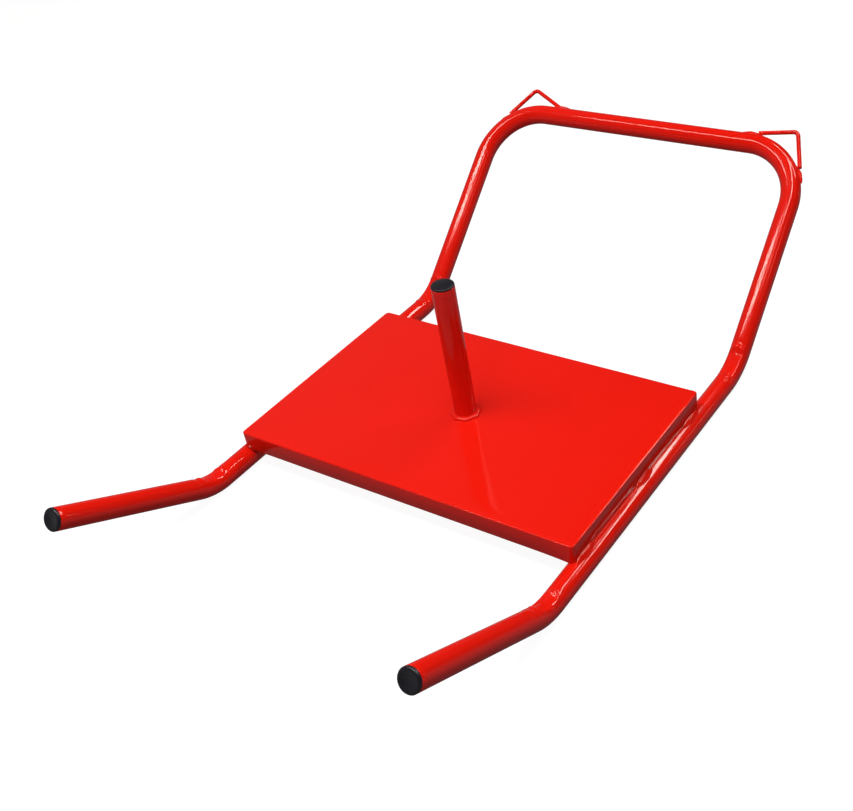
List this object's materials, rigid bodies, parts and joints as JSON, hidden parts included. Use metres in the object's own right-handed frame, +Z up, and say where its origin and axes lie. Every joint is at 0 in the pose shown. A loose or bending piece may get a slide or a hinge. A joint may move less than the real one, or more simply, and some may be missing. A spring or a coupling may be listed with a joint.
{
  "type": "drag sled",
  "caption": "Bent-tube drag sled with a folded sheet deck, an upright post for weight plates, plugged rear legs and harness loops on the raised bow.",
  "frame": {"origin": "on the ground, at the centre of the sled's bounding box in X and Y", "axes": "+Z up, +Y towards the raised bow with the harness loops, +X to the right when looking towards the bow"},
  "size_m": [0.4854, 0.8938, 0.2287],
  "materials": {
    "red_powder_coat": "satin powder coat",
    "black_plastic": "smooth moulded"
  },
  "bodies": {
    "root": {"frame_tube": "red_powder_coat", "deck_tray": "red_powder_coat", "weight_post": "red_powder_coat", "post_cap": "black_plastic", "left_end_plug": "black_plastic", "right_end_plug": "black_plastic", "left_harness_loop": "red_powder_coat", "right_harness_loop": "red_powder_coat", "post_weld": "red_powder_coat", "post_doubler": "red_powder_coat", "doubler_welds": "red_powder_coat", "left_deck_weld_front": "red_powder_coat", "left_deck_weld_middle": "red_powder_coat", "left_deck_weld_rear": "red_powder_coat", "right_deck_weld_front": "red_powder_coat", "right_deck_weld_middle": "red_powder_coat", "right_deck_weld_rear": "red_powder_coat", "left_loop_weld_crossbar": "red_powder_coat", "left_loop_weld_upright": "red_powder_coat", "right_loop_weld_crossbar": "red_powder_coat", "right_loop_weld_upright": "red_powder_coat"}
  },
  "joints": []
}
